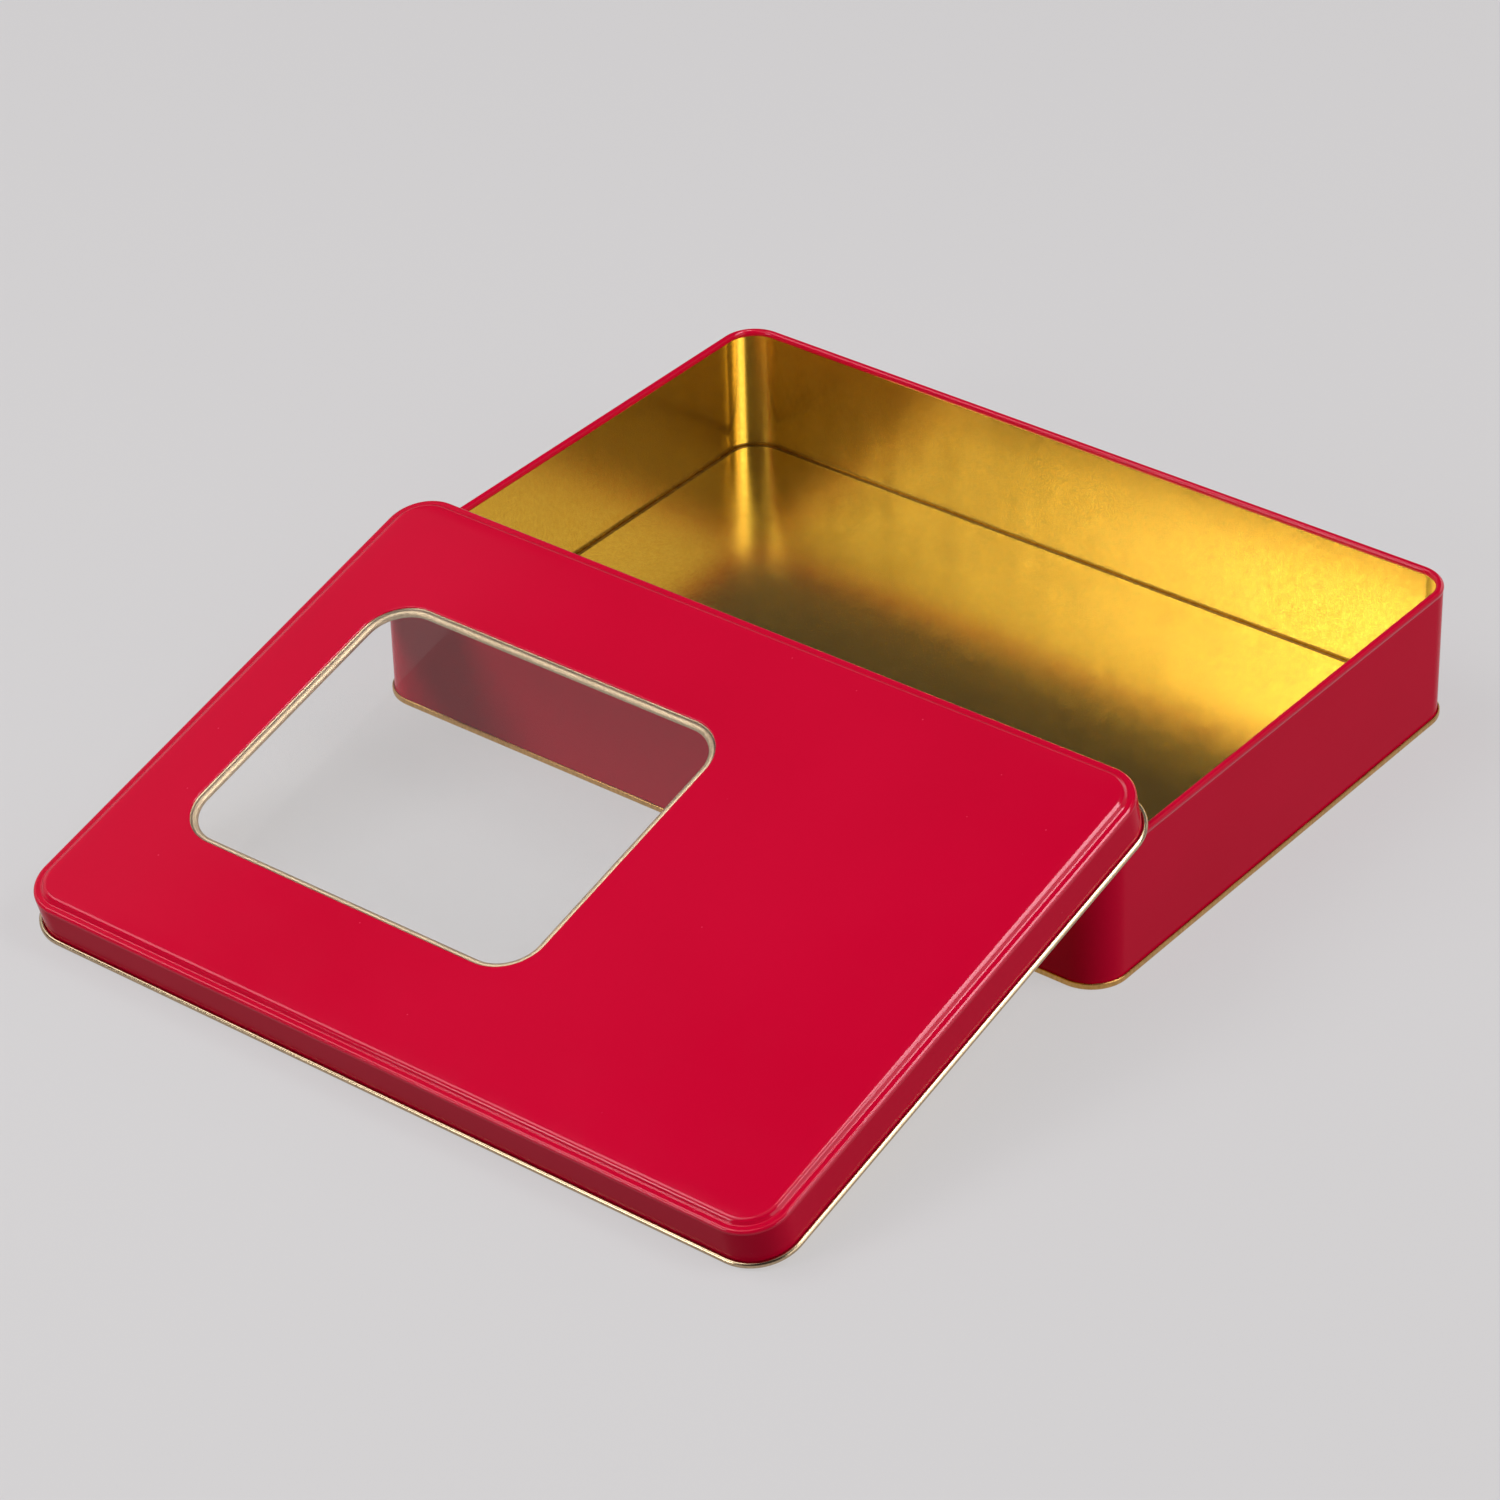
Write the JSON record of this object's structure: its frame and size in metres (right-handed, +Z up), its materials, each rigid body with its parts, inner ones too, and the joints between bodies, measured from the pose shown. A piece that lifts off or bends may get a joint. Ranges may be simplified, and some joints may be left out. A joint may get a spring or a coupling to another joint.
{
  "type": "cookie tin",
  "caption": "Rectangular tinplate cookie tin, lacquered red outside and gold inside, open, with its window lid leaning on the front edge.",
  "frame": {"origin": "bottom centre of the box around the standing base and the leaning lid, on the surface they stand on", "axes": "+Z up, X along the long walls, the lid leans on the -Y side of the base"},
  "size_m": [0.3056, 0.3816, 0.0683],
  "materials": {
    "red_tinplate": "tinplate with glossy red lacquer outside and satin gold lacquer inside",
    "gold_tinplate": "tinplate with clear gold lacquer, satin",
    "clear_film": "clear PET film, glossy"
  },
  "bodies": {
    "base": {"body_wall": "red_tinplate", "bottom_plate": "gold_tinplate"},
    "lid": {"lid_shell": "red_tinplate", "window_film": "clear_film", "window_frame": "gold_tinplate"}
  },
  "joints": [
    {"name": "lid_lift", "type": "slide", "parent": "base", "child": "lid", "axis": [0, 0, 1], "range_m": [0, 0.12]}
  ]
}
